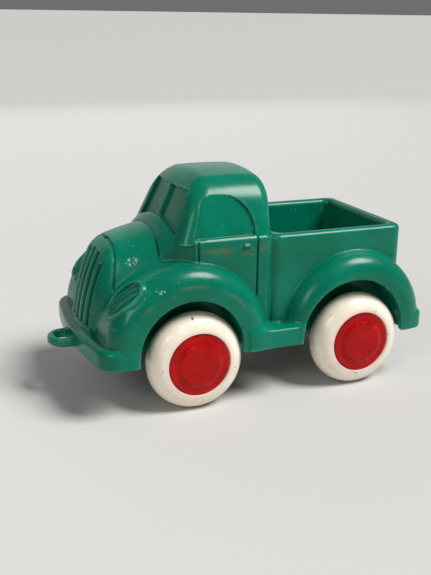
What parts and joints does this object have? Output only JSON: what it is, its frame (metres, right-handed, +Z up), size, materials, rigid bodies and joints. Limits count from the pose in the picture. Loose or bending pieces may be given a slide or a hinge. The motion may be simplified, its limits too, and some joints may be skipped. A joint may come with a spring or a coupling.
{
  "type": "toy pickup truck",
  "caption": "Chunky rounded toy pickup truck with wide arched fenders, open load bed, front tow ring, fat wheels and a wind-up pull-back motor on the rear axle.",
  "frame": {"origin": "on the ground, under the middle of the truck's outer box", "axes": "+X forward to the tow ring, +Y to the truck's left, +Z up"},
  "size_m": [0.1511, 0.077, 0.0877],
  "materials": {
    "body_green": "moulded, softly glossy, lightly scuffed",
    "base_black": "moulded, satin",
    "tyre_white": "moulded soft plastic, satin, slightly yellowed",
    "hub_red": "moulded, glossy",
    "steel": "bright drawn wire and strip",
    "spacer_white": "natural nylon",
    "casing_grey": "moulded, satin",
    "gear_white": "natural acetal",
    "brass": "machined"
  },
  "bodies": {
    "body": {"body_shell": "body_green", "base_plate": "base_black", "base_screws": "steel", "motor_mount_screws": "steel", "motor_casing_left": "casing_grey", "motor_casing_right": "casing_grey", "motor_casing_screws": "steel", "clutch_pin": "steel", "spring_arbor": "steel"},
    "front_wheels": {"front_axle": "steel", "front_left_tyre": "tyre_white", "front_right_tyre": "tyre_white", "front_left_hub": "hub_red", "front_right_hub": "hub_red", "front_spacers": "spacer_white"},
    "rear_wheels": {"rear_axle": "steel", "axle_pinion": "brass", "rear_left_tyre": "tyre_white", "rear_right_tyre": "tyre_white", "rear_left_hub": "hub_red", "rear_right_hub": "hub_red", "rear_spacers": "spacer_white"},
    "clutch": {"clutch_gear": "gear_white"},
    "spring_drum": {"spring_gear": "gear_white", "spring_cover": "gear_white", "mainspring": "steel"}
  },
  "joints": [
    {"name": "front_wheels_roll", "type": "hinge", "parent": "body", "child": "front_wheels", "pos_m": [0.0259, 0, 0.0191], "axis": [0, 1, 0], "continuous": true},
    {"name": "rear_wheels_roll", "type": "hinge", "parent": "body", "child": "rear_wheels", "pos_m": [-0.0441, 0, 0.0191], "axis": [0, 1, 0], "continuous": true},
    {"name": "clutch_turn", "type": "hinge", "parent": "body", "child": "clutch", "pos_m": [-0.03639, 0, 0.02829], "axis": [0, 1, 0], "continuous": true},
    {"name": "spring_drum_turn", "type": "hinge", "parent": "body", "child": "spring_drum", "pos_m": [-0.02391, 0, 0.02654], "axis": [0, 1, 0], "continuous": true}
  ],
  "couplings": [
    {"joint": "clutch_turn", "follows": "rear_wheels_roll", "ratio": -0.33333},
    {"joint": "spring_drum_turn", "follows": "rear_wheels_roll", "ratio": 0.10417}
  ]
}
